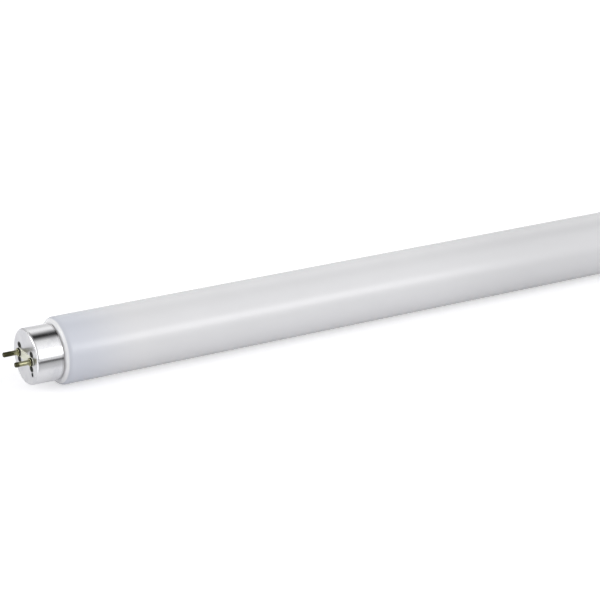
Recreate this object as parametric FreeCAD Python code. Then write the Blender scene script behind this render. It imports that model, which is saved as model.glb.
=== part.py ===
import FreeCAD, Part
import math
import os

# Fluorescent tube with a two-pin cap on each end, in millimetres.
# The origin is at the middle of the tube, on its axis. +X runs along the tube, +Z is up,
# and the two pins of each cap lie side by side along Y. The left end is at -X.

Vector = FreeCAD.Vector

# Sealed glass tube
TUBE_DIAMETER = 31.75  # ten eighths of an inch
FACE_TO_FACE = 580.0  # between the faces of the collars that the pins stand on
SHOULDER_GAP = 0.8  # open groove between the cap's edge and the glass shoulder
NECK_FILLET = 0.9  # hollow round between the neck and the shoulder
RIM_BEVEL = 1.0  # outer edge of the fused rim inside the cap
FLARE_BEVEL = 2.4  # inner edge of the fused rim
FLARE_MOUTH_DIAMETER = 15.6
STEM_DEPTH = 9.6  # from the rim to the floor where the leads come out
STEM_FLOOR_DIAMETER = 9.8
EXHAUST_DIAMETER = 4.2
EXHAUST_LENGTH = 7.0  # from the stem's floor to the sealed tip
STEM_CLEARANCE = 1.8  # from the pins' inner ends to the glass rim

# Drawn aluminium cap shell
CAP_DIAMETER = 26.4
CAP_LENGTH = 13.0
CAP_SHEET = 0.4
CAP_EDGE_RADIUS = 1.1
WINDOW_HEIGHT = 4.4
VENT_DIAMETER = 2.1
VENT_ACROSS = 7.4
VENT_DOWN = 6.0
STAKE_MOUTH_DIAMETER = 2.3
STAKE_FLOOR_DIAMETER = 1.7
STAKE_DEPTH = 0.3
STAKE_LAND = 0.1  # metal left between a stake mark and the window

# Moulded insulating plate
BOSS_CLEARANCE = 0.05
BOSS_RAISE = 0.2
BOSS_EDGE_BEVEL = 0.1
FLANGE_MARGIN = 2.0
FLANGE_THICKNESS = 1.4
FLANGE_CLEARANCE = 0.15  # from the flange to the shell's rounded inside corner

# Hollow brass pins
PIN_DIAMETER = 2.35
PIN_SPACING = 12.7
PIN_LENGTH = 7.1  # from the collar's face to the tip
PIN_BORE_DIAMETER = 1.55
PIN_SHANK_DIAMETER = 2.8  # where the pin passes through the plate
PIN_TIP_ROUND = 0.55
PIN_TIP_THICKNESS = 0.6
COLLAR_MARGIN = 0.15  # from the boss's edge to a collar
COLLAR_THICKNESS = 0.9
COLLAR_BEVEL = 0.15
RIVET_DIAMETER = 3.6
RIVET_THICKNESS = 0.6

# Basing cement and lead wires
CEMENT_THICKNESS = 0.8
CEMENT_SETBACK = 1.0  # from the cap's open edge
CEMENT_LENGTH = 5.6
LEAD_DIAMETER = 0.6
LEAD_SEAL = 1.0  # length held in the glass
LEAD_SPACING_IN_STEM = 6.8
LEAD_BEND_RADIUS = 2.5
LEAD_STRAIGHT = 1.6  # straight run at each end of the slanted part

# Worked-out sizes. A depth is measured from the cap's metal face towards the middle of the tube.
COLLAR_FACE_DEPTH = -BOSS_RAISE - COLLAR_THICKNESS
METAL_FACE_X = FACE_TO_FACE / 2 + COLLAR_FACE_DEPTH
TUBE_RADIUS = TUBE_DIAMETER / 2
CAP_RADIUS = CAP_DIAMETER / 2
CAP_FLAT_RADIUS = CAP_RADIUS - CAP_EDGE_RADIUS
CAP_INNER_RADIUS = CAP_RADIUS - CAP_SHEET
NECK_RADIUS = CAP_INNER_RADIUS - CEMENT_THICKNESS
SHOULDER_DEPTH = CAP_LENGTH + SHOULDER_GAP
PIN_RADIUS = PIN_DIAMETER / 2
PIN_SHANK_RADIUS = PIN_SHANK_DIAMETER / 2
COLLAR_RADIUS = WINDOW_HEIGHT / 2 - BOSS_CLEARANCE - COLLAR_MARGIN
PIN_TIP_DEPTH = COLLAR_FACE_DEPTH - PIN_LENGTH
FLANGE_BACK_DEPTH = CAP_SHEET + FLANGE_THICKNESS
PIN_INNER_DEPTH = FLANGE_BACK_DEPTH + RIVET_THICKNESS
RIM_DEPTH = PIN_INNER_DEPTH + STEM_CLEARANCE
STEM_FLOOR_DEPTH = RIM_DEPTH + STEM_DEPTH
LEAD_RADIUS = LEAD_DIAMETER / 2


def line(start, end):
    """Straight edge between two (depth, radius) points."""
    return Part.LineSegment(Vector(*start, 0), Vector(*end, 0)).toShape()


def arc(start, end, centre):
    """Shorter arc between two (depth, radius) points about a centre."""
    a, b, c = Vector(*start, 0), Vector(*end, 0), Vector(*centre, 0)
    towards = (a - c) + (b - c)
    middle = c + towards * ((a - c).Length / towards.Length)
    return Part.Arc(a, middle, b).toShape()


def polyline(points):
    """Straight edges through (depth, radius) points, in order."""
    return [line(a, b) for a, b in zip(points, points[1:])]


def revolved(edges):
    """Solid of revolution about X of a closed outline."""
    face = Part.Face(Part.Wire(Part.__sortEdges__(edges)))
    return face.revolve(Vector(0, 0, 0), Vector(1, 0, 0), 360)


def rod(radius, start_depth, end_depth, across=0.0, up=0.0):
    """Round bar along X between two depths."""
    return Part.makeCylinder(
        radius, end_depth - start_depth, Vector(start_depth, across, up), Vector(1, 0, 0)
    )


def stadium(height, start_depth, end_depth):
    """Round-ended slab whose end centres are the pins' axes."""
    half, reach = height / 2, PIN_SPACING / 2
    corners = [Vector(start_depth, y, z) for y, z in (
        (-reach, -half), (reach, -half), (reach, half), (-reach, half)
    )]
    tips = [Vector(start_depth, side * (reach + half), 0) for side in (1, -1)]
    outline = Part.Wire([
        Part.LineSegment(corners[0], corners[1]).toShape(),
        Part.Arc(corners[1], tips[0], corners[2]).toShape(),
        Part.LineSegment(corners[2], corners[3]).toShape(),
        Part.Arc(corners[3], tips[1], corners[0]).toShape(),
    ])
    return Part.Face(outline).extrude(Vector(end_depth - start_depth, 0, 0))


# Sealed glass tube

def stem_outline():
    """Re-entrant stem of one end, from the exhaust tip on the axis out to the fused rim."""
    exhaust = EXHAUST_DIAMETER / 2
    tip = STEM_FLOOR_DEPTH - EXHAUST_LENGTH
    mouth = FLARE_MOUTH_DIAMETER / 2
    points = [
        (tip + exhaust, exhaust),
        (STEM_FLOOR_DEPTH, exhaust),
        (STEM_FLOOR_DEPTH, STEM_FLOOR_DIAMETER / 2),
        (RIM_DEPTH + FLARE_BEVEL, mouth),
        (RIM_DEPTH, mouth + FLARE_BEVEL),
        (RIM_DEPTH, NECK_RADIUS - RIM_BEVEL),
    ]
    return [arc((tip, 0), points[0], (tip + exhaust, 0)), *polyline(points)]


def shoulder_outline():
    """Outside of one end, from the fused rim along the neck and up the rounded shoulder."""
    rim_start = (RIM_DEPTH, NECK_RADIUS - RIM_BEVEL)
    neck_start = (RIM_DEPTH + RIM_BEVEL, NECK_RADIUS)
    neck_end = (SHOULDER_DEPTH - NECK_FILLET, NECK_RADIUS)
    wall = (SHOULDER_DEPTH, NECK_RADIUS + NECK_FILLET)
    shoulder_round = TUBE_RADIUS - NECK_RADIUS - NECK_FILLET
    barrel_start = (SHOULDER_DEPTH + shoulder_round, TUBE_RADIUS)
    return [
        *polyline([rim_start, neck_start, neck_end]),
        arc(neck_end, wall, (neck_end[0], wall[1])),
        arc(wall, barrel_start, (barrel_start[0], wall[1])),
    ], barrel_start


def glass_tube():
    """Sealed bulb as one filled solid, with both necks, shoulders and stems."""
    shoulder, barrel_start = shoulder_outline()
    left = [edge.translated(Vector(-METAL_FACE_X, 0, 0)) for edge in stem_outline() + shoulder]
    right = [edge.mirror(Vector(0, 0, 0), Vector(1, 0, 0)) for edge in left]
    barrel_x = METAL_FACE_X - barrel_start[0]
    tip_x = METAL_FACE_X - STEM_FLOOR_DEPTH + EXHAUST_LENGTH
    barrel = line((-barrel_x, TUBE_RADIUS), (barrel_x, TUBE_RADIUS))
    axis = line((-tip_x, 0), (tip_x, 0))
    tube = revolved(left + [barrel] + right + [axis])
    for end in ("left", "right"):
        for side in (-1, 1):
            seal = rod(
                LEAD_RADIUS,
                STEM_FLOOR_DEPTH,
                STEM_FLOOR_DEPTH + LEAD_SEAL,
                side * LEAD_SPACING_IN_STEM / 2,
            )
            tube = tube.cut(placed(seal, end))
    return tube


# Parts of one cap, built with the metal face at depth 0

def cap_cup():
    """Drawn cup with a rounded face edge, its inside corner bevelled, and an open end towards the glass."""
    edge_centre = (CAP_EDGE_RADIUS, CAP_FLAT_RADIUS)
    outer_flat = (0, CAP_FLAT_RADIUS)
    outer_side = (CAP_EDGE_RADIUS, CAP_RADIUS)
    walls = polyline([
        outer_side,
        (CAP_LENGTH, CAP_RADIUS),
        (CAP_LENGTH, CAP_INNER_RADIUS),
        (CAP_EDGE_RADIUS, CAP_INNER_RADIUS),
        (CAP_SHEET, CAP_FLAT_RADIUS),
        (CAP_SHEET, 0),
        (0, 0),
        outer_flat,
    ])
    return revolved([arc(outer_flat, outer_side, edge_centre)] + walls)


def stake_marks():
    """Coined marks above and below each pin that lock the insulating plate in its window."""
    height = WINDOW_HEIGHT / 2 + STAKE_LAND + STAKE_MOUTH_DIAMETER / 2
    return [
        Part.makeCone(
            STAKE_MOUTH_DIAMETER / 2,
            STAKE_FLOOR_DIAMETER / 2,
            STAKE_DEPTH,
            Vector(0, side * PIN_SPACING / 2, level * height),
            Vector(1, 0, 0),
        )
        for side in (-1, 1)
        for level in (-1, 1)
    ]


def cap_shell():
    """Aluminium shell with its window, stake marks and vent hole."""
    window = stadium(WINDOW_HEIGHT, -1, CAP_SHEET + 1)
    vent = rod(VENT_DIAMETER / 2, -1, CAP_SHEET + 1, -VENT_ACROSS, -VENT_DOWN)
    return cap_cup().cut([window, vent] + stake_marks())


def insulating_plate():
    """Plate with a boss that fills the window, and a flange inside the shell, no wider than its flat."""
    boss = stadium(WINDOW_HEIGHT - 2 * BOSS_CLEARANCE, -BOSS_RAISE, CAP_SHEET)
    front = [edge for edge in boss.Edges if all(abs(v.X + BOSS_RAISE) < 1e-6 for v in edge.Vertexes)]
    boss = boss.makeChamfer(BOSS_EDGE_BEVEL, front)
    flange = stadium(WINDOW_HEIGHT + 2 * FLANGE_MARGIN, CAP_SHEET, FLANGE_BACK_DEPTH)
    flange = flange.common(rod(CAP_FLAT_RADIUS - FLANGE_CLEARANCE, CAP_SHEET, FLANGE_BACK_DEPTH))
    plate = boss.fuse(flange).removeSplitter()
    holes = [
        rod(PIN_SHANK_RADIUS, -BOSS_RAISE - 1, FLANGE_BACK_DEPTH + 1, side * PIN_SPACING / 2)
        for side in (-1, 1)
    ]
    return plate.cut(holes)


def contact_pin(side):
    """Hollow pin with a collar on the boss, a rivet behind the flange and a hole in its tip."""
    bore = PIN_BORE_DIAMETER / 2
    tip_flat = (PIN_TIP_DEPTH, PIN_RADIUS - PIN_TIP_ROUND)
    tip_side = (PIN_TIP_DEPTH + PIN_TIP_ROUND, PIN_RADIUS)
    outline = polyline([
        tip_side,
        (COLLAR_FACE_DEPTH, PIN_RADIUS),
        (COLLAR_FACE_DEPTH, COLLAR_RADIUS - COLLAR_BEVEL),
        (COLLAR_FACE_DEPTH + COLLAR_BEVEL, COLLAR_RADIUS),
        (-BOSS_RAISE, COLLAR_RADIUS),
        (-BOSS_RAISE, PIN_SHANK_RADIUS),
        (FLANGE_BACK_DEPTH, PIN_SHANK_RADIUS),
        (FLANGE_BACK_DEPTH, RIVET_DIAMETER / 2),
        (PIN_INNER_DEPTH, RIVET_DIAMETER / 2),
        (PIN_INNER_DEPTH, bore),
        (PIN_TIP_DEPTH + PIN_TIP_THICKNESS, bore),
        (PIN_TIP_DEPTH + PIN_TIP_THICKNESS, LEAD_RADIUS),
        (PIN_TIP_DEPTH, LEAD_RADIUS),
        tip_flat,
    ])
    tip = arc(tip_flat, tip_side, (tip_side[0], tip_flat[1]))
    pin = revolved([tip] + outline)
    return pin.translated(Vector(0, side * PIN_SPACING / 2, 0))


def cement_ring():
    """Ring of set cement that holds the shell on the glass neck."""
    end = CAP_LENGTH - CEMENT_SETBACK
    start = end - CEMENT_LENGTH
    corners = [
        (start, NECK_RADIUS),
        (end, NECK_RADIUS),
        (end, CAP_INNER_RADIUS),
        (start, CAP_INNER_RADIUS),
        (start, NECK_RADIUS),
    ]
    return revolved(polyline(corners))


def rounded_path(points, radius):
    """Wire of straight runs joined by tangent arcs of one radius at the inner points."""
    edges, start = [], points[0]
    for before, corner, after in zip(points, points[1:], points[2:]):
        back = (before - corner).normalize()
        ahead = (after - corner).normalize()
        half_angle = back.getAngle(ahead) / 2
        setback = radius / math.tan(half_angle)
        arc_start, arc_end = corner + back * setback, corner + ahead * setback
        bisector = (back + ahead).normalize()
        middle = corner + bisector * (radius / math.sin(half_angle) - radius)
        edges.append(Part.LineSegment(start, arc_start).toShape())
        edges.append(Part.Arc(arc_start, middle, arc_end).toShape())
        start = arc_end
    edges.append(Part.LineSegment(start, points[-1]).toShape())
    return Part.Wire(edges)


def lead_wire(side):
    """Lead from the glass stem, slanting out to the pin and through it to its tip."""
    inner, outer = side * LEAD_SPACING_IN_STEM / 2, side * PIN_SPACING / 2
    path = rounded_path([
        Vector(STEM_FLOOR_DEPTH + LEAD_SEAL, inner, 0),
        Vector(STEM_FLOOR_DEPTH - LEAD_STRAIGHT, inner, 0),
        Vector(PIN_INNER_DEPTH + LEAD_STRAIGHT, outer, 0),
        Vector(PIN_TIP_DEPTH, outer, 0),
    ], LEAD_BEND_RADIUS)
    start = Vector(STEM_FLOOR_DEPTH + LEAD_SEAL, inner, 0)
    section = Part.Wire(Part.makeCircle(LEAD_RADIUS, start, Vector(1, 0, 0)))
    return path.makePipeShell([section], True, True)


# Both ends

def placed(shape, end):
    """Part of a cap moved to its end of the tube. The right cap is the left one turned about Z."""
    moved = shape.translated(Vector(-METAL_FACE_X, 0, 0))
    if end == "right":
        moved = moved.rotated(Vector(0, 0, 0), Vector(0, 0, 1), 180)
    return moved


def cap_parts(front_side):
    """Every part of one cap by name, at depth 0. The front pin is the one that ends up at -Y."""
    return {
        "cap_shell": cap_shell(),
        "insulating_plate": insulating_plate(),
        "cement_ring": cement_ring(),
        "front_pin": contact_pin(front_side),
        "rear_pin": contact_pin(-front_side),
        "front_lead_wire": lead_wire(front_side),
        "rear_lead_wire": lead_wire(-front_side),
    }


def build():
    """All the nodes by name. Turning the right cap about Z swaps its two sides."""
    nodes = {"glass_tube": glass_tube()}
    for end, front_side in (("left", -1), ("right", 1)):
        for name, shape in cap_parts(front_side).items():
            nodes[f"{end}_{name}"] = placed(shape, end)
    return nodes


os.makedirs("parts", exist_ok=True)
for node_name, node_shape in build().items():
    assert node_shape.isValid() and len(node_shape.Solids) == 1, node_name
    node_shape.exportStep(f"parts/{node_name}.step")
    print(node_name, round(node_shape.Volume, 1), node_shape.BoundBox)
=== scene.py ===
"""Looks of a straight fluorescent tube with a two-pin cap on each end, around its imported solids.

All lengths in this file are millimetres, turned to metres where a mesh or a node needs them.
+X runs along the tube, +Y goes from the front pin to the rear pin of each cap, and +Z is up.
"""

import logging
import math
from dataclasses import dataclass
from enum import Enum
from typing import Any

import bpy
import numpy as np
from mathutils import Matrix, Vector


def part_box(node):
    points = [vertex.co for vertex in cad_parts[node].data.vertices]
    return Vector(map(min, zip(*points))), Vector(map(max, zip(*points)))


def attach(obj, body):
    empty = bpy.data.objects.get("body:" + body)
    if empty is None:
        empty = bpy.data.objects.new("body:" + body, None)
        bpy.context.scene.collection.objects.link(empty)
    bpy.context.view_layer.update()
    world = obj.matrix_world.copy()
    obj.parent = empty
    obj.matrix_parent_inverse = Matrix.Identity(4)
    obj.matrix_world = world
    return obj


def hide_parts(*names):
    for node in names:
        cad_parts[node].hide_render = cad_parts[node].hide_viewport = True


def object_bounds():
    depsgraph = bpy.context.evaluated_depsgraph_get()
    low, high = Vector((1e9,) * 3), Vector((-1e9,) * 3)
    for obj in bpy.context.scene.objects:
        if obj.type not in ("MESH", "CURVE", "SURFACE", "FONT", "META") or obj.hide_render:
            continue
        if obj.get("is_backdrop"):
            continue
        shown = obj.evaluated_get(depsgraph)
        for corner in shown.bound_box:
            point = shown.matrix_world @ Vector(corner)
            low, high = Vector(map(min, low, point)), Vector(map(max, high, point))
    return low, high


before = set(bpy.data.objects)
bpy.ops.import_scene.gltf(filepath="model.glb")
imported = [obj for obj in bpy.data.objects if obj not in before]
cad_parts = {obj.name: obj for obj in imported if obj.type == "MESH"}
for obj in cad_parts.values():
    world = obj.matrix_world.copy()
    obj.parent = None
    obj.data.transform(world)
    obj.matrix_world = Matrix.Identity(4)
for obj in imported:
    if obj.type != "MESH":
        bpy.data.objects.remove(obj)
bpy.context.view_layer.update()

MM = 0.001  # Metres in a millimetre.
CAP_FACE = 288.9  # From the tube's middle to the metal face of each cap.
PIN_ACROSS = 6.35  # From the tube's axis to each pin's.
SHARP_DEG = 40.0  # Faces that meet at more than this keep a sharp edge.

Colour = tuple[float, float, float, float]
log = logging.getLogger("fluorescent_tube")


class End(Enum):
    """The two ends of the tube, by the side of the frame that they lie on."""

    LEFT = "left"
    RIGHT = "right"


class Side(Enum):
    """The two sides of a cap, as the camera sees them."""

    FRONT = "front"
    REAR = "rear"


def linear(colour: str) -> Colour:
    """Turn an sRGB hex colour into the linear values that a shader takes.

    Args:
        colour: Six hex digits with a leading #.

    Returns:
        Linear red, green, blue and alpha.
    """
    parts = [int(colour[i : i + 2], 16) / 255 for i in (1, 3, 5)]
    red, green, blue = (c / 12.92 if c <= 0.04045 else ((c + 0.055) / 1.055) ** 2.4 for c in parts)
    return red, green, blue, 1.0


def grey(level: float) -> Colour:
    """Give the linear colour of a plain grey, with 0 black and 1 white."""
    return level, level, level, 1.0


def pattern_scale(size: float) -> float:
    """Give a pattern's scale, in features per metre, from the size of one in millimetres."""
    return 1 / MM / size


def add_node(
    tree: bpy.types.NodeTree,
    kind: str,
    inputs: dict[Any, Any] | None = None,
    **settings: Any,
) -> bpy.types.Node:
    """Add a node with its settings, its fixed values and its links.

    Args:
        tree: Node tree that gets the node.
        kind: Blender's name of the node's type.
        inputs: Value or output socket for each named or numbered input.
        settings: Properties of the node itself.

    Returns:
        The new node.
    """
    node = tree.nodes.new(kind)
    for key, value in settings.items():
        setattr(node, key, value)
    for key, value in (inputs or {}).items():
        if isinstance(value, bpy.types.NodeSocket):
            tree.links.new(value, node.inputs[key])
        else:
            node.inputs[key].default_value = value
    return node


def add_window(
    tree: bpy.types.NodeTree,
    value: bpy.types.NodeSocket,
    edges: tuple[float, float, float, float],
) -> bpy.types.NodeSocket:
    """Add a share that rises smoothly between the first two edges and falls between the last two.

    Args:
        tree: Node tree that gets the nodes.
        value: Socket that the share follows.
        edges: The four values, from low to high.

    Returns:
        Socket of the share.
    """
    rise, fall = (
        add_node(
            tree,
            "ShaderNodeMapRange",
            {"Value": value, "From Min": start, "From Max": end},
            interpolation_type="SMOOTHSTEP",
        ).outputs["Result"]
        for start, end in (edges[:2], edges[:1:-1])
    )
    return add_node(tree, "ShaderNodeMath", {0: rise, 1: fall}, operation="MULTIPLY").outputs[0]


def set_ramp(node: bpy.types.Node, stops: list[tuple[float, Colour]]) -> None:
    """Give a Color Ramp node its stops.

    Args:
        node: The ramp.
        stops: Place from 0 to 1 and linear colour of each stop, in order.
    """
    elements = node.color_ramp.elements
    elements[0].position, elements[0].color = stops[0]
    elements[1].position, elements[1].color = stops[-1]
    for place, colour in stops[1:-1]:
        elements.new(place).color = colour


# Geometry


def rounded_outline(corners: list[tuple[float, float, float]], steps: int = 12) -> np.ndarray:
    """Work out an open outline through corners, with a tangent arc at each rounded one.

    An arc of radius R starts and ends R / tan(half the corner's angle) from the corner. Its centre
    lies on the bisector, R / sin(half angle) from the corner, and its points turn evenly about it.

    Args:
        corners: x, r and rounding radius of each corner, in order. The two ends aren't rounded.
        steps: Straight pieces in each arc.

    Returns:
        Array of (x, r) points.
    """
    points = [np.array(corners[0][:2])]
    for before, corner, after in zip(corners, corners[1:], corners[2:]):
        here, radius = np.array(corner[:2]), corner[2]
        if radius == 0:
            points.append(here)
            continue
        back, ahead = np.array(before[:2]) - here, np.array(after[:2]) - here
        back, ahead = back / np.linalg.norm(back), ahead / np.linalg.norm(ahead)
        half = math.acos(np.clip(back @ ahead, -1, 1)) / 2
        bisector = (back + ahead) / np.linalg.norm(back + ahead)
        centre = here + bisector * radius / math.sin(half)
        spoke = here + back * radius / math.tan(half) - centre
        turn = np.sign(back[1] * ahead[0] - back[0] * ahead[1]) * (math.pi - 2 * half)
        angles = np.linspace(0, turn, steps + 1)
        cos, sin = np.cos(angles), np.sin(angles)
        arc = np.stack([cos * spoke[0] - sin * spoke[1], sin * spoke[0] + cos * spoke[1]], axis=1)
        points.extend(centre + arc)
    points.append(np.array(corners[-1][:2]))
    return np.array(points)


def lathe(name: str, outline: np.ndarray, turns: int) -> bpy.types.Object:
    """Make a closed surface of revolution about X from an outline that starts and ends on the axis.

    A point at (x, r) of the outline and angle a is (x, r cos a, r sin a). The first and last points
    are single poles, joined to the rings beside them by triangles, and quads join the rings.

    Args:
        name: Name of the object.
        outline: (x, r) points from one pole to the other, in millimetres, with x growing overall.
        turns: Points round each ring.

    Returns:
        The object, with smooth faces and sharp edges where the outline turns sharply.
    """
    angle = np.linspace(0, 2 * math.pi, turns, endpoint=False)
    rings = outline[1:-1]
    x = np.repeat(rings[:, :1], turns, axis=1)
    grid = np.stack([x, rings[:, 1:] * np.cos(angle), rings[:, 1:] * np.sin(angle)], axis=-1)
    poles = np.array([[outline[0, 0], 0, 0], [outline[-1, 0], 0, 0]])
    points = np.concatenate([grid.reshape(-1, 3), poles]) * MM
    step = np.arange(turns)
    after, last = (step + 1) % turns, (len(rings) - 1) * turns
    first = np.arange(len(rings) - 1)[:, None] * turns
    here, beside = first + step, first + after
    quads = np.stack([here, beside, beside + turns, here + turns], axis=-1).reshape(-1, 4)
    start = np.stack([np.full(turns, len(points) - 2), after, step], axis=-1)
    finish = np.stack([np.full(turns, len(points) - 1), last + step, last + after], axis=-1)
    mesh = bpy.data.meshes.new(name)
    mesh.from_pydata(points.tolist(), [], quads.tolist() + start.tolist() + finish.tolist())
    mesh.shade_smooth()
    mesh.set_sharp_from_angle(angle=math.radians(SHARP_DEG))
    piece = bpy.data.objects.new(name, mesh)
    bpy.context.scene.collection.objects.link(piece)
    return piece


# Finishes


@dataclass(frozen=True)
class Finish:
    """What every finish shares: its name, Object coordinates to start from, and its shader.

    In every finish a pair of values says where something starts and where it is full: a place or a
    distance in millimetres, or, for a share, the noise.
    """

    name: str

    def start(self) -> tuple[bpy.types.Material, bpy.types.NodeTree, bpy.types.NodeSocket]:
        """Make an empty material.

        Returns:
            The material, its node tree and the socket of the Object coordinates.
        """
        material = bpy.data.materials.new(self.name)
        material.use_nodes = True
        tree = material.node_tree
        tree.nodes.clear()
        place = add_node(tree, "ShaderNodeTexCoord").outputs["Object"]
        return material, tree, place

    def close(self, tree: bpy.types.NodeTree, inputs: dict[str, Any]) -> None:
        """Add the Principled shader and the material's output.

        Args:
            tree: The material's node tree.
            inputs: Value or pattern's socket for each of the shader's inputs that the finish sets.
        """
        shader = add_node(tree, "ShaderNodeBsdfPrincipled", inputs).outputs["BSDF"]
        add_node(tree, "ShaderNodeOutputMaterial", {"Surface": shader})


@dataclass(frozen=True)
class PhosphorCoatedGlass(Finish):
    """Drawn soda-lime glass tubing with a settled coat of white phosphor powder on its inside.

    The glass is clear and fire-smooth, so the outside has a clean gloss over a chalky white, and
    drawing it leaves faint long waves. The coat is painted greyer in the middle of the tube, as
    painted shade where the light falls off. It is colder and darker in tone close to each cap, and
    painted whiter in the round of the shoulder, a painted highlight that also lightens the shaded
    flank and neck in the groove by the cap. These three follow the distance from the tube's middle.
    """

    name: str = "drawn_glass_over_phosphor"
    powder: str = "#eaeaec"
    powder_cloud: str = "#e4e4e6"
    # Painted shade: the coat is greyer in the tube's middle, where the light falls off.
    powder_with_painted_shade: str = "#dedee0"
    powder_by_caps: str = "#d7dae3"
    # Painted highlight: the shoulder's round is near white, which also lightens the shaded flank and
    # neck in the groove by the cap.
    powder_with_painted_highlight: str = "#fdfdff"
    painted_shade_middle_mm: tuple[float, float] = (90.0, 10.0)
    by_caps_mm: tuple[float, float] = (236.0, 272.0)
    painted_highlight_shoulder_mm: tuple[float, float] = (273.8, 274.4)
    cloud_mm: float = 26.0
    wave_along_mm: float = 160.0
    wave_across_mm: float = 7.0
    wave_height_mm: float = 0.02
    roughness: float = 0.13
    ior: float = 1.5

    def make(self) -> bpy.types.Material:
        """Build the material.

        Returns:
            The material.
        """
        material, tree, place = self.start()
        along = add_node(tree, "ShaderNodeSeparateXYZ", {"Vector": place}).outputs["X"]
        reach = add_node(tree, "ShaderNodeMath", {0: along}, operation="ABSOLUTE").outputs[0]
        cloud = add_node(
            tree,
            "ShaderNodeTexNoise",
            {
                "Vector": place,
                "Scale": pattern_scale(self.cloud_mm),
                "Detail": 3.0,
                "Roughness": 0.55,
            },
        ).outputs["Fac"]
        tone = add_node(
            tree,
            "ShaderNodeMix",
            {0: cloud, 6: linear(self.powder), 7: linear(self.powder_cloud)},
            data_type="RGBA",
        ).outputs[2]
        # Tones by the distance from the middle: painted shade there, a colder tone by the caps, and a
        # painted highlight on the shoulder.
        for (start, full), powder in (
            (self.painted_shade_middle_mm, self.powder_with_painted_shade),
            (self.by_caps_mm, self.powder_by_caps),
            (self.painted_highlight_shoulder_mm, self.powder_with_painted_highlight),
        ):
            share = add_node(
                tree,
                "ShaderNodeMapRange",
                {"Value": reach, "From Min": start * MM, "From Max": full * MM},
                interpolation_type="SMOOTHSTEP",
            ).outputs["Result"]
            tone = add_node(
                tree, "ShaderNodeMix", {0: share, 6: tone, 7: linear(powder)}, data_type="RGBA"
            ).outputs[2]
        stretched = add_node(
            tree,
            "ShaderNodeMapping",
            {
                "Vector": place,
                "Scale": (
                    pattern_scale(self.wave_along_mm),
                    pattern_scale(self.wave_across_mm),
                    pattern_scale(self.wave_across_mm),
                ),
            },
        ).outputs["Vector"]
        wave = add_node(
            tree, "ShaderNodeTexNoise", {"Vector": stretched, "Scale": 1.0, "Detail": 1.0}
        ).outputs["Fac"]
        bump = add_node(
            tree,
            "ShaderNodeBump",
            {"Height": wave, "Strength": 1.0, "Distance": self.wave_height_mm * MM},
        ).outputs["Normal"]
        inputs = {"Base Color": tone, "Roughness": self.roughness, "IOR": self.ior, "Normal": bump}
        self.close(tree, inputs)
        return material


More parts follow.
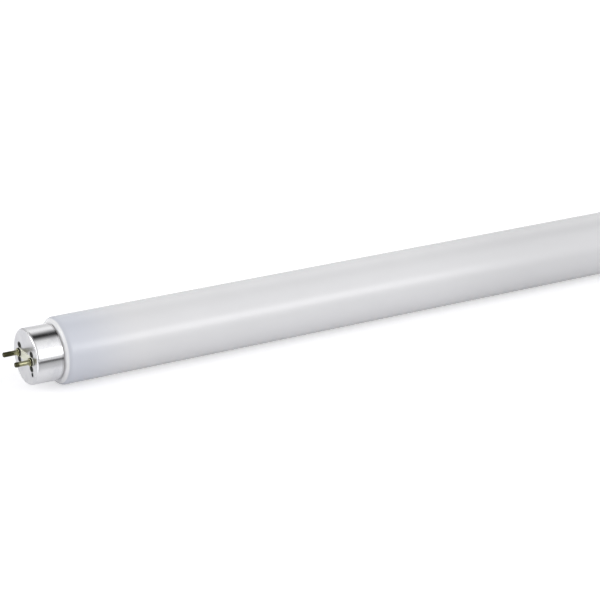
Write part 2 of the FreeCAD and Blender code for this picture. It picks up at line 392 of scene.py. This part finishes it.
@dataclass(frozen=True)
class PolishedAluminium(Finish):
    """Aluminium sheet deep drawn into a cup, then polished while it spins.

    It mirrors the room with a slight haze, which is stronger on the face, and smudges from handling
    make both uneven. Spinning leaves hair lines that run round the axis, circles on the face and
    rings on the side. A dull near-black is painted on all that lies below the face, such as the
    coined marks, and in a ring round each mark, as painted shade of these hollows. The sheet is
    also painted darker along its open edge, as painted shade of the groove between cap and glass.
    """

    name: str = "deep_drawn_polished_aluminium"
    metal: str = "#eeeef0"
    metal_smudged: str = "#e2e2e6"
    # Painted shade for the hollows below the face and the rings round the coined marks.
    painted_shade: str = "#1d1c19"
    line_mm: float = 0.12  # Finer on a real cap, and drawn as coarse as a close view needs.
    line_height_mm: float = 0.0006
    smudge_mm: float = 6.0
    smudge_share: tuple[float, float] = (0.45, 0.7)
    roughness: float = 0.09
    roughness_smudged: float = 0.17
    roughness_face: float = 0.3
    roughness_painted_shade: float = 0.7
    face_mm: float = CAP_FACE
    face_haze_below_mm: tuple[float, float] = (0.25, 0.05)
    painted_shade_depth_mm: float = 0.16
    painted_shade_radius_mm: float = 11.8
    mark_across_mm: float = PIN_ACROSS
    mark_up_mm: float = 3.45
    mark_squeeze: float = 0.82
    mark_painted_shade_mm: tuple[float, float] = (1.75, 1.3)
    # Painted shade along the open edge, for the groove between cap and glass.
    open_edge_painted_shade: str = "#d6d6d8"
    open_edge_painted_shade_mm: tuple[float, float] = (276.9, 276.5)

    def make(self) -> bpy.types.Material:
        """Build the material.

        Returns:
            The material.
        """
        material, tree, place = self.start()
        split = add_node(tree, "ShaderNodeSeparateXYZ", {"Vector": place})
        # Hair lines: noise of x and of the distance from the axis alone, so it runs in circles.
        across = add_node(
            tree, "ShaderNodeVectorMath", {0: place, 1: (0.0, 1.0, 1.0)}, operation="MULTIPLY"
        ).outputs["Vector"]
        radius = add_node(
            tree, "ShaderNodeVectorMath", {0: across}, operation="LENGTH"
        ).outputs["Value"]
        rings = add_node(
            tree, "ShaderNodeCombineXYZ", {"X": split.outputs["X"], "Y": radius}
        ).outputs["Vector"]
        hair = add_node(
            tree,
            "ShaderNodeTexNoise",
            {"Vector": rings, "Scale": pattern_scale(self.line_mm), "Detail": 2.0},
        ).outputs["Fac"]
        bump = add_node(
            tree,
            "ShaderNodeBump",
            {"Height": hair, "Strength": 1.0, "Distance": self.line_height_mm * MM},
        ).outputs["Normal"]
        smudge = add_node(
            tree,
            "ShaderNodeTexNoise",
            {
                "Vector": place,
                "Scale": pattern_scale(self.smudge_mm),
                "Detail": 4.0,
                "Roughness": 0.6,
            },
        ).outputs["Fac"]
        low, high = self.smudge_share
        handled = add_node(
            tree, "ShaderNodeMapRange", {"Value": smudge, "From Min": low, "From Max": high}
        ).outputs["Result"]
        tone = add_node(
            tree,
            "ShaderNodeMix",
            {0: handled, 6: linear(self.metal), 7: linear(self.metal_smudged)},
            data_type="RGBA",
        ).outputs[2]
        haze = add_node(
            tree,
            "ShaderNodeMapRange",
            {"Value": handled, "To Min": self.roughness, "To Max": self.roughness_smudged},
        ).outputs["Result"]
        reach = add_node(
            tree, "ShaderNodeMath", {0: split.outputs["X"]}, operation="ABSOLUTE"
        ).outputs[0]
        start, full = (self.face_mm - below for below in self.face_haze_below_mm)
        on_face = add_node(
            tree,
            "ShaderNodeMapRange",
            {
                "Value": reach,
                "From Min": start * MM,
                "From Max": full * MM,
                "To Max": self.roughness_face,
            },
        ).outputs["Result"]
        hazy = add_node(
            tree, "ShaderNodeMath", {0: haze, 1: on_face}, operation="MAXIMUM"
        ).outputs[0]
        # Painted shade: near-black on what lies below the face, and in a ring round the nearest of
        # the four marks. The ring is wider across than up, and both stay inside the round of the
        # cap's edge.
        sunk = add_node(
            tree,
            "ShaderNodeMapRange",
            {
                "Value": reach,
                "From Min": self.face_mm * MM,
                "From Max": (self.face_mm - self.painted_shade_depth_mm) * MM,
            },
        ).outputs["Result"]
        inside = add_node(
            tree, "ShaderNodeMath", {0: radius, 1: self.painted_shade_radius_mm * MM}, operation="LESS_THAN"
        ).outputs[0]
        squeezed = add_node(
            tree,
            "ShaderNodeVectorMath",
            {0: across, 1: (0.0, self.mark_squeeze, 1.0)},
            operation="MULTIPLY",
        ).outputs["Vector"]
        folded = add_node(
            tree, "ShaderNodeVectorMath", {0: squeezed}, operation="ABSOLUTE"
        ).outputs["Vector"]
        middle = (0.0, self.mark_across_mm * self.mark_squeeze * MM, self.mark_up_mm * MM)
        from_mark = add_node(
            tree, "ShaderNodeVectorMath", {0: folded, 1: middle}, operation="DISTANCE"
        ).outputs["Value"]
        start, full = self.mark_painted_shade_mm
        ring = add_node(
            tree,
            "ShaderNodeMapRange",
            {"Value": from_mark, "From Min": start * MM, "From Max": full * MM},
        ).outputs["Result"]
        shaded_places = add_node(
            tree, "ShaderNodeMath", {0: sunk, 1: ring}, operation="MAXIMUM"
        ).outputs[0]
        painted_shade_share = add_node(
            tree, "ShaderNodeMath", {0: shaded_places, 1: inside}, operation="MULTIPLY"
        ).outputs[0]
        # Painted shade: the sheet is painted darker along its open edge, for the shade of the groove
        # between the cap and the glass.
        start, full = self.open_edge_painted_shade_mm
        by_edge_painted_shade = add_node(
            tree,
            "ShaderNodeMapRange",
            {"Value": reach, "From Min": start * MM, "From Max": full * MM},
        ).outputs["Result"]
        dulled = add_node(
            tree,
            "ShaderNodeMix",
            {0: by_edge_painted_shade, 6: tone, 7: linear(self.open_edge_painted_shade)},
            data_type="RGBA",
        ).outputs[2]
        colour = add_node(
            tree, "ShaderNodeMix", {0: painted_shade_share, 6: dulled, 7: linear(self.painted_shade)}, data_type="RGBA"
        ).outputs[2]
        clean = add_node(
            tree, "ShaderNodeMath", {0: 1.0, 1: painted_shade_share}, operation="SUBTRACT"
        ).outputs[0]
        rough = add_node(
            tree, "ShaderNodeMix", {0: painted_shade_share, 2: hazy, 3: self.roughness_painted_shade}, data_type="FLOAT"
        ).outputs[0]
        inputs = {"Base Color": colour, "Metallic": clean, "Roughness": rough, "Normal": bump}
        self.close(tree, inputs)
        return material


@dataclass(frozen=True)
class MouldedPhenolic(Finish):
    """Pale phenolic resin with wood-flour filler, pressed in a steel mould.

    The filler gives fine flecks a little darker than the resin, and the mould leaves a soft satin
    skin.
    """

    name: str = "pressed_cream_phenolic"
    resin: str = "#f2f2e2"
    fleck: str = "#d3d5b8"
    fleck_mm: float = 0.35
    fleck_share: tuple[float, float] = (0.5, 0.72)
    grain_height_mm: float = 0.01
    roughness: float = 0.42
    ior: float = 1.6

    def make(self) -> bpy.types.Material:
        """Build the material.

        Returns:
            The material.
        """
        material, tree, place = self.start()
        grain = add_node(
            tree,
            "ShaderNodeTexNoise",
            {
                "Vector": place,
                "Scale": pattern_scale(self.fleck_mm),
                "Detail": 5.0,
                "Roughness": 0.65,
            },
        ).outputs["Fac"]
        low, high = self.fleck_share
        flecks = add_node(
            tree, "ShaderNodeMapRange", {"Value": grain, "From Min": low, "From Max": high}
        ).outputs["Result"]
        tone = add_node(
            tree,
            "ShaderNodeMix",
            {0: flecks, 6: linear(self.resin), 7: linear(self.fleck)},
            data_type="RGBA",
        ).outputs[2]
        bump = add_node(
            tree,
            "ShaderNodeBump",
            {"Height": grain, "Strength": 0.6, "Distance": self.grain_height_mm * MM},
        ).outputs["Normal"]
        inputs = {"Base Color": tone, "Roughness": self.roughness, "IOR": self.ior, "Normal": bump}
        self.close(tree, inputs)
        return material


@dataclass(frozen=True)
class DulledBrass(Finish):
    """Brass tube drawn and domed into a contact pin, dulled by handling and air.

    Drawing leaves fine lines along the pin. Oxide turns the yellow metal to a dark olive in
    patches, which join up towards the tip. The dark reaches over most of a rear pin and only the
    tip of a front pin, which paints shade on the rear pin and light on the front one. The side of
    each collar is painted near black, as painted shade of the collar's side.
    """

    name: str = "drawn_dulled_brass"
    brass: str = "#aeac8c"
    # Oxide, and painted shade where it covers most of a rear pin.
    oxide_and_shade: str = "#4b4a35"
    # Painted shade on the side of each collar.
    collar_painted_shade: str = "#2b2a1f"
    pin_across_mm: float = PIN_ACROSS
    collar_painted_shade_radius_mm: tuple[float, float] = (1.85, 1.99)
    # The rear pin's longer dark is painted shade, and the front pin's shorter one is painted light.
    rear_oxide_and_shade_mm: tuple[float, float] = (290.2, 294.5)
    front_oxide_and_light_mm: tuple[float, float] = (294.0, 296.4)
    oxide_gain: tuple[float, float] = (-0.3, 0.55)  # Added to the noise, from clean to dull.
    oxide_share: tuple[float, float] = (0.35, 0.75)
    patch_mm: float = 1.6
    line_along_mm: float = 4.0
    line_across_mm: float = 0.1  # Finer on a real pin, and drawn as coarse as a close view needs.
    line_height_mm: float = 0.002
    roughness: float = 0.24
    roughness_oxide: float = 0.42

    def make(self) -> bpy.types.Material:
        """Build the material.

        Returns:
            The material.
        """
        material, tree, place = self.start()
        patch = add_node(
            tree,
            "ShaderNodeTexNoise",
            {
                "Vector": place,
                "Scale": pattern_scale(self.patch_mm),
                "Detail": 4.0,
                "Roughness": 0.6,
            },
        ).outputs["Fac"]
        split = add_node(tree, "ShaderNodeSeparateXYZ", {"Vector": place})
        reach = add_node(
            tree, "ShaderNodeMath", {0: split.outputs["X"]}, operation="ABSOLUTE"
        ).outputs[0]
        # Oxide and painted shade: patches of noise that grow along the pin, between two places that
        # differ for a front pin and a rear one, so that the rear pin is painted darker than the
        # front.
        front = add_node(
            tree, "ShaderNodeMath", {0: split.outputs["Y"], 1: 0.0}, operation="LESS_THAN"
        ).outputs[0]
        clean_until, dull_from = (
            add_node(
                tree,
                "ShaderNodeMapRange",
                {"Value": front, "To Min": rear * MM, "To Max": ahead * MM},
            ).outputs["Result"]
            for rear, ahead in zip(self.rear_oxide_and_shade_mm, self.front_oxide_and_light_mm)
        )
        least, most = self.oxide_gain
        outward = add_node(
            tree,
            "ShaderNodeMapRange",
            {
                "Value": reach,
                "From Min": clean_until,
                "From Max": dull_from,
                "To Min": least,
                "To Max": most,
            },
        ).outputs["Result"]
        uneven = add_node(
            tree, "ShaderNodeMath", {0: patch, 1: outward}, operation="ADD"
        ).outputs[0]
        low, high = self.oxide_share
        dull = add_node(
            tree, "ShaderNodeMapRange", {"Value": uneven, "From Min": low, "From Max": high}
        ).outputs["Result"]
        # Painted shade: near black by the distance from the pin's own axis, so far out that only the
        # collar's side has it.
        sideways = add_node(
            tree, "ShaderNodeMath", {0: split.outputs["Y"]}, operation="ABSOLUTE"
        ).outputs[0]
        beside = add_node(
            tree, "ShaderNodeMath", {0: sideways, 1: self.pin_across_mm * MM}, operation="SUBTRACT"
        ).outputs[0]
        spoke = add_node(
            tree, "ShaderNodeCombineXYZ", {"X": beside, "Y": split.outputs["Z"]}
        ).outputs["Vector"]
        radius = add_node(
            tree, "ShaderNodeVectorMath", {0: spoke}, operation="LENGTH"
        ).outputs["Value"]
        start, full = self.collar_painted_shade_radius_mm
        collar_shaded = add_node(
            tree,
            "ShaderNodeMapRange",
            {"Value": radius, "From Min": start * MM, "From Max": full * MM},
        ).outputs["Result"]
        metal = add_node(
            tree,
            "ShaderNodeMix",
            {0: dull, 6: linear(self.brass), 7: linear(self.oxide_and_shade)},
            data_type="RGBA",
        ).outputs[2]
        tone = add_node(
            tree, "ShaderNodeMix", {0: collar_shaded, 6: metal, 7: linear(self.collar_painted_shade)}, data_type="RGBA"
        ).outputs[2]
        haze = add_node(
            tree,
            "ShaderNodeMapRange",
            {"Value": dull, "To Min": self.roughness, "To Max": self.roughness_oxide},
        ).outputs["Result"]
        stretched = add_node(
            tree,
            "ShaderNodeMapping",
            {
                "Vector": place,
                "Scale": (
                    pattern_scale(self.line_along_mm),
                    pattern_scale(self.line_across_mm),
                    pattern_scale(self.line_across_mm),
                ),
            },
        ).outputs["Vector"]
        lines = add_node(
            tree, "ShaderNodeTexNoise", {"Vector": stretched, "Scale": 1.0, "Detail": 2.0}
        ).outputs["Fac"]
        bump = add_node(
            tree,
            "ShaderNodeBump",
            {"Height": lines, "Strength": 0.5, "Distance": self.line_height_mm * MM},
        ).outputs["Normal"]
        inputs = {"Base Color": tone, "Metallic": 1.0, "Roughness": haze, "Normal": bump}
        self.close(tree, inputs)
        return material


@dataclass(frozen=True)
class BakedCement(Finish):
    """Marble dust bound with baked resin, squeezed between shell and glass.

    It is matt and sandy, with pale grains in a brown binder.
    """

    name: str = "baked_basing_cement"
    binder: str = "#8a7a63"
    grain: str = "#b8ad98"
    grain_mm: float = 0.3
    grain_height_mm: float = 0.05
    roughness: float = 0.85

    def make(self) -> bpy.types.Material:
        """Build the material.

        Returns:
            The material.
        """
        material, tree, place = self.start()
        sand = add_node(
            tree, "ShaderNodeTexVoronoi", {"Vector": place, "Scale": pattern_scale(self.grain_mm)}
        ).outputs["Distance"]
        tone = add_node(
            tree,
            "ShaderNodeMix",
            {0: sand, 6: linear(self.grain), 7: linear(self.binder)},
            data_type="RGBA",
        ).outputs[2]
        bump = add_node(
            tree,
            "ShaderNodeBump",
            {"Height": sand, "Strength": 0.7, "Distance": self.grain_height_mm * MM},
        ).outputs["Normal"]
        inputs = {"Base Color": tone, "Roughness": self.roughness, "Normal": bump}
        self.close(tree, inputs)
        return material


@dataclass(frozen=True)
class NickelPlatedWire(Finish):
    """Iron wire drawn thin and plated with nickel.

    It is a warm grey metal with small duller patches.
    """

    name: str = "drawn_nickel_plated_wire"
    nickel: str = "#b5aea2"
    nickel_dull: str = "#948d82"
    patch_mm: float = 0.5
    roughness: float = 0.28

    def make(self) -> bpy.types.Material:
        """Build the material.

        Returns:
            The material.
        """
        material, tree, place = self.start()
        patch = add_node(
            tree,
            "ShaderNodeTexNoise",
            {"Vector": place, "Scale": pattern_scale(self.patch_mm), "Detail": 3.0},
        ).outputs["Fac"]
        tone = add_node(
            tree,
            "ShaderNodeMix",
            {0: patch, 6: linear(self.nickel), 7: linear(self.nickel_dull)},
            data_type="RGBA",
        ).outputs[2]
        inputs = {"Base Color": tone, "Metallic": 1.0, "Roughness": self.roughness}
        self.close(tree, inputs)
        return material


# Sub-assemblies


@dataclass
class GlassTube:
    """The sealed tube: barrel, rounded shoulders, necks, fused rims, stems and exhaust tips."""

    node: str = "glass_tube"
    slot: str = "phosphor_coated_glass"
    shoulder_depth: float = 13.8
    neck_radius: float = 12.0
    neck_fillet: float = 0.9
    rim_depth: float = 4.2
    rim_bevel: float = 1.0
    flare_bevel: float = 2.4
    mouth_radius: float = 7.8
    stem_depth: float = 9.6
    stem_floor_radius: float = 4.9
    exhaust_radius: float = 2.1
    exhaust_length: float = 7.0
    pole_gap: float = 0.001
    edge_round: float = 0.3
    turns: int = 192

    def outline(self) -> np.ndarray:
        """Work out half of the outline, from the left pole to the middle, and mirror it.

        The corners' x is counted inwards from the cap's metal face. The barrel's radius is that of
        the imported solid's flats, so that the finer surface stays inside it. The exhaust tip's round
        is smaller than its radius by the pole gap, so that its arc doesn't end on the pole itself.

        Returns:
            Array of (x, r) points from the left pole to the right one.
        """
        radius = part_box(self.node)[1].z / MM
        floor = self.rim_depth + self.stem_depth
        tip = floor - self.exhaust_length
        round_radius = radius - self.neck_radius - self.neck_fillet
        corners = [
            (tip, 0, 0),
            (tip, self.exhaust_radius, self.exhaust_radius - self.pole_gap),
            (floor, self.exhaust_radius, 0),
            (floor, self.stem_floor_radius, 0),
            (self.rim_depth + self.flare_bevel, self.mouth_radius, self.edge_round),
            (self.rim_depth, self.mouth_radius + self.flare_bevel, self.edge_round),
            (self.rim_depth, self.neck_radius - self.rim_bevel, self.edge_round),
            (self.rim_depth + self.rim_bevel, self.neck_radius, self.edge_round),
            (self.shoulder_depth, self.neck_radius, self.neck_fillet),
            (self.shoulder_depth, radius, round_radius),
            (CAP_FACE, radius, 0),
        ]
        half = rounded_outline(corners)
        half[:, 0] -= CAP_FACE
        return np.concatenate([half[:-1], half[:-1][::-1] * (-1, 1)])

    def build(self) -> bpy.types.Object:
        """Make the tube as one smooth surface in place of the coarser solid.

        Returns:
            The tube's object.
        """
        tube = lathe("phosphor_coated_tube", self.outline(), self.turns)
        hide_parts(self.node)
        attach(tube, "root")
        return tube

    def dress(self, tube: bpy.types.Object) -> None:
        """Give the tube and the solid that it stands for their finish.

        Args:
            tube: The tube's object.
        """
        material = PhosphorCoatedGlass().make()
        for piece in (tube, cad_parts[self.node]):
            piece.data.materials.clear()
            piece.data.materials.append(material)


@dataclass
class CapFinishes:
    """One made material for each kind of piece in a cap, shared by both caps."""

    shell: bpy.types.Material
    plate: bpy.types.Material
    pin: bpy.types.Material
    cement: bpy.types.Material
    lead: bpy.types.Material


@dataclass
class Cap:
    """One cap: drawn shell, insulating plate, cement ring, and a pin with its lead on each side."""

    end: End

    def dress(self, finishes: CapFinishes) -> list[str]:
        """Give each solid of the cap its finish. Their shapes stay as they are.

        Args:
            finishes: The materials of both caps.

        Returns:
            Names of the dressed pieces.
        """
        wanted = {
            "cap_shell": finishes.shell,
            "insulating_plate": finishes.plate,
            "cement_ring": finishes.cement,
        }
        for side in Side:
            wanted[f"{side.value}_pin"] = finishes.pin
            wanted[f"{side.value}_lead_wire"] = finishes.lead
        names = []
        for part, material in wanted.items():
            names.append(f"{self.end.value}_{part}")
            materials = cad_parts[names[-1]].data.materials
            materials.clear()
            materials.append(material)
        return names


# Studio


@dataclass(frozen=True)
class Glow:
    """A part of the room: its brightness by turn, seen where the lean is within four edges.

    Levels gives the turn in degrees and the brightness at each step, with straight slopes between.
    """

    lean: tuple[float, float, float, float]
    levels: tuple[tuple[float, float], ...]

    def add(
        self,
        tree: bpy.types.NodeTree,
        lean: bpy.types.NodeSocket,
        turn: bpy.types.NodeSocket,
        others: bpy.types.NodeSocket | float,
    ) -> bpy.types.NodeSocket:
        """Add this glow to the brightness of others.

        Args:
            tree: The world's node tree.
            lean: Socket of the direction's lean.
            turn: Socket of its turn, as a share of a full one.
            others: Brightness so far.

        Returns:
            Socket of the brightness with this glow.
        """
        peak = max(level for _, level in self.levels)
        ramp = add_node(tree, "ShaderNodeValToRGB", {"Fac": turn})
        set_ramp(ramp, [(angle / 360, grey(level / peak)) for angle, level in self.levels])
        own = add_node(
            tree, "ShaderNodeMath", {0: ramp.outputs["Color"], 1: peak}, operation="MULTIPLY"
        ).outputs[0]
        share = add_window(tree, lean, self.lean)
        return add_node(
            tree, "ShaderNodeMath", {0: own, 1: share, 2: others}, operation="MULTIPLY_ADD"
        ).outputs[0]


@dataclass
class Studio:
    """Pale floor, a soft room with long panels beside the tube, and white behind everything.

    A direction has a turn about the tube's axis, in degrees from straight behind over the top to
    the front, and a lean, the part of its unit length that lies along the tube, less than 0 towards
    the near cap. The glows are, in order: a narrow bright lamp past the near cap, a dim panel from
    that end to the middle, a panel from there to the far end that is dark overhead and bright
    behind and in front, a strip lamp low in front of it, and a narrow bright lamp past the far cap.
    Where glows overlap they add up, and both end lamps stop at the floor.

    The floor is lifted towards white for the camera. In polished metal and in glass it is bright
    under the tube, darkest about 120 mm in front of it and brighter again further out, by the steps
    of floor_mirrored, and its corner past the near cap and in front is bright too.
    """

    floor_half: float = 1500.0
    floor_colour: str = "#dcdcde"
    floor_lift: float = 0.5
    floor_lift_mirrored: float = 0.28
    floor_mirrored: tuple[tuple[float, float], ...] = (
        (-400, 0.8),
        (-330, 0.6),
        (-190, 0.3),
        (-140, 0.15),
        (-102, 0.15),
        (-84, 0.32),
        (-62, 0.52),
        (-42, 0.65),
        (-34, 0.72),
        (-25, 0.96),
        (-18, 0.96),
        (-8, 0.86),
        (5, 0.92),
    )
    floor_end_x: tuple[float, float] = (-300.0, -314.0)
    floor_end_y: tuple[float, float] = (8.0, 0.0)
    floor_end_lift: float = 0.5
    glows: tuple[Glow, ...] = (
        Glow(
            (-0.93, -0.87, -0.84, -0.74),
            ((0, 3.4), (70, 3.4), (105, 2.8), (178, 2.2), (184, 0.0), (356, 0.0), (360, 3.4)),
        ),
        Glow(
            (-1.2, -1.1, 0.08, 0.2),
            (
                (0, 0.55),
                (30, 0.68),
                (45, 0.86),
                (58, 0.4),
                (92, 0.28),
                (109, 0.68),
                (130, 0.7),
                (155, 0.48),
                (360, 0.54),
            ),
        ),
        Glow(
            (0.08, 0.2, 1.1, 1.2),
            (
                (0, 0.75),
                (14, 0.72),
                (26, 0.78),
                (41, 0.98),
                (50, 0.94),
                (58, 0.68),
                (67, 0.28),
                (75, 0.05),
                (84, 0.03),
                (92, 0.22),
                (104, 0.78),
                (117, 0.92),
                (131, 1.1),
                (172, 1.15),
                (184, 0.4),
                (356, 0.4),
                (360, 0.75),
            ),
        ),
        Glow((0.3, 0.36, 0.5, 0.59), ((138, 0.0), (152, 2.8), (163, 2.8), (173, 0.0))),
        Glow((0.74, 0.84, 0.87, 0.93), ((0, 4.0), (178, 4.0), (184, 0.0), (356, 0.0), (360, 4.0))),
    )

    def build_floor(self) -> bpy.types.Object:
        """Make the floor under the tube's lowest line.

        It gives off a little light of its own, a level for the camera and another for mirrors, so
        that it shows paler than the room lights it and keeps the tube's shadow.

        Returns:
            The floor's object.
        """
        half, height = self.floor_half * MM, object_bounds()[0][2]
        signs = ((-1, -1), (1, -1), (1, 1), (-1, 1))
        corners = [(x * half, y * half, height) for x, y in signs]
        mesh = bpy.data.meshes.new("floor")
        mesh.from_pydata(corners, [], [(0, 1, 2, 3)])
        floor = bpy.data.objects.new("floor", mesh)
        bpy.context.scene.collection.objects.link(floor)
        floor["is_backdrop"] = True
        material = bpy.data.materials.new("matt_white_sweep")
        material.use_nodes = True
        tree = material.node_tree
        tree.nodes.clear()
        rays = add_node(tree, "ShaderNodeLightPath").outputs
        mirrored = add_node(
            tree,
            "ShaderNodeMath",
            {0: rays["Is Glossy Ray"], 1: rays["Is Transmission Ray"]},
            operation="MAXIMUM",
        ).outputs[0]
        place = add_node(tree, "ShaderNodeTexCoord").outputs["Object"]
        split = add_node(tree, "ShaderNodeSeparateXYZ", {"Vector": place})
        past_cap, ahead_of_cap = (
            add_node(
                tree,
                "ShaderNodeMapRange",
                {"Value": split.outputs[axis], "From Min": start * MM, "From Max": full * MM},
            ).outputs["Result"]
            for axis, (start, full) in (("X", self.floor_end_x), ("Y", self.floor_end_y))
        )
        corner = add_node(
            tree, "ShaderNodeMath", {0: past_cap, 1: ahead_of_cap}, operation="MULTIPLY"
        ).outputs[0]
        end_lift = add_node(
            tree,
            "ShaderNodeMath",
            {0: corner, 1: self.floor_end_lift, 2: self.floor_lift_mirrored},
            operation="MULTIPLY_ADD",
        ).outputs[0]
        by_mirror = add_node(
            tree, "ShaderNodeMath", {0: mirrored, 1: end_lift}, operation="MULTIPLY"
        ).outputs[0]
        lift = add_node(
            tree,
            "ShaderNodeMath",
            {0: rays["Is Camera Ray"], 1: self.floor_lift, 2: by_mirror},
            operation="MULTIPLY_ADD",
        ).outputs[0]
        first, last = self.floor_mirrored[0][0], self.floor_mirrored[-1][0]
        behind = add_node(
            tree,
            "ShaderNodeMapRange",
            {"Value": split.outputs["Y"], "From Min": first * MM, "From Max": last * MM},
        ).outputs["Result"]
        ramp = add_node(tree, "ShaderNodeValToRGB", {"Fac": behind})
        reach = last - first
        set_ramp(ramp, [((y - first) / reach, grey(level)) for y, level in self.floor_mirrored])
        tint = add_node(
            tree,
            "ShaderNodeMix",
            {0: mirrored, 6: grey(1.0), 7: ramp.outputs["Color"]},
            data_type="RGBA",
        ).outputs[2]
        colour = add_node(
            tree,
            "ShaderNodeMix",
            {0: 1.0, 6: linear(self.floor_colour), 7: tint},
            data_type="RGBA",
            blend_type="MULTIPLY",
        ).outputs[2]
        matt = add_node(tree, "ShaderNodeBsdfDiffuse", {"Color": colour}).outputs[0]
        glow = add_node(tree, "ShaderNodeEmission", {"Color": tint, "Strength": lift}).outputs[0]
        both = add_node(tree, "ShaderNodeAddShader", {0: matt, 1: glow}).outputs[0]
        add_node(tree, "ShaderNodeOutputMaterial", {"Surface": both})
        mesh.materials.append(material)
        return floor

    def build_room(self) -> None:
        """Set the world: white to the camera, and the panels to every other ray."""
        world = bpy.data.worlds.new("studio")
        bpy.context.scene.world = world
        world.use_nodes = True
        tree = world.node_tree
        tree.nodes.clear()
        way = add_node(tree, "ShaderNodeTexCoord").outputs["Generated"]
        split = add_node(tree, "ShaderNodeSeparateXYZ", {"Vector": way})
        angle = add_node(
            tree,
            "ShaderNodeMath",
            {0: split.outputs["Z"], 1: split.outputs["Y"]},
            operation="ARCTAN2",
        ).outputs[0]
        signed = add_node(
            tree, "ShaderNodeMath", {0: angle, 1: 2 * math.pi}, operation="DIVIDE"
        ).outputs[0]
        above = add_node(tree, "ShaderNodeMath", {0: signed, 1: 1.0}, operation="ADD").outputs[0]
        turn = add_node(tree, "ShaderNodeMath", {0: above}, operation="FRACT").outputs[0]
        level: bpy.types.NodeSocket | float = 0.0
        for glow in self.glows:
            level = glow.add(tree, split.outputs["X"], turn, level)
        lit, white = (
            add_node(
                tree, "ShaderNodeBackground", {"Color": grey(1.0), "Strength": strength}
            ).outputs[0]
            for strength in (level, 1.0)
        )
        camera_ray = add_node(tree, "ShaderNodeLightPath").outputs["Is Camera Ray"]
        both = add_node(tree, "ShaderNodeMixShader", {0: camera_ray, 1: lit, 2: white}).outputs[0]
        add_node(tree, "ShaderNodeOutputWorld", {"Surface": both})

    def build(self) -> None:
        """Make the floor and the room."""
        self.build_floor()
        self.build_room()


@dataclass
class PhotoCamera:
    """Camera at the photograph's place, worked out from what its frame shows.

    The tube's direction follows from the pixel where its edges meet, and its place from the pixel
    and the distance of one point on its axis. The tube is then turned about its axis until both
    pins sit right.
    """

    frame_px: float = 600.0
    focal_px: float = 2270.0
    sensor: float = 36.0
    meeting_px: tuple[float, float] = (4233.0, -479.0)
    axis_px: tuple[float, float] = (27.0, 356.6)
    axis_x: float = -288.1
    axis_distance: float = 1027.8
    roll_deg: float = 3.7
    clip_end: float = 20000.0

    def ray(self, pixel: tuple[float, float]) -> Vector:
        """Direction of a pixel from the camera, with the camera looking along -Z.

        Args:
            pixel: Column and row, counted from the top left.

        Returns:
            Direction with a Z of -1.
        """
        middle = self.frame_px / 2
        column, row = pixel
        return Vector(((column - middle) / self.focal_px, (middle - row) / self.focal_px, -1.0))

    def build(self) -> bpy.types.Object:
        """Make the camera and use it.

        Returns:
            The camera's object.
        """
        along = self.ray(self.meeting_px).normalized()
        pitch = math.atan2(along.y, -along.z)
        upright = Vector((0, math.cos(pitch), math.sin(pitch)))
        across = upright.cross(along)
        roll = math.radians(self.roll_deg)
        across, upright = (
            across * math.cos(roll) + upright * math.sin(roll),
            upright * math.cos(roll) - across * math.sin(roll),
        )
        turned = Matrix((along, across, upright))
        point = self.ray(self.axis_px) * self.axis_distance * MM
        offset = point - along * self.axis_x * MM
        data = bpy.data.cameras.new("photo_camera")
        data.sensor_width = self.sensor
        data.lens = self.focal_px / self.frame_px * self.sensor
        data.clip_end = self.clip_end * MM
        camera = bpy.data.objects.new("photo_camera", data)
        camera.matrix_world = Matrix.Translation(-(turned @ offset)) @ turned.to_4x4()
        bpy.context.scene.collection.objects.link(camera)
        bpy.context.scene.camera = camera
        return camera


def main() -> None:
    """Build and dress each sub-assembly, then the studio and the camera."""
    logging.basicConfig(level=logging.INFO, format="%(name)s: %(message)s")
    glass = GlassTube()
    tube = glass.build()
    glass.dress(tube)
    log.info("%s: %d faces, stands for %s", tube.name, len(tube.data.polygons), glass.node)
    finishes = CapFinishes(
        shell=PolishedAluminium().make(),
        plate=MouldedPhenolic().make(),
        pin=DulledBrass().make(),
        cement=BakedCement().make(),
        lead=NickelPlatedWire().make(),
    )
    for end in End:
        for name in Cap(end).dress(finishes):
            log.info("%s: dressed", name)
    Studio().build()
    PhotoCamera().build()
    bpy.context.scene.view_settings.view_transform = "Standard"


if __name__ == "__main__":
    main()
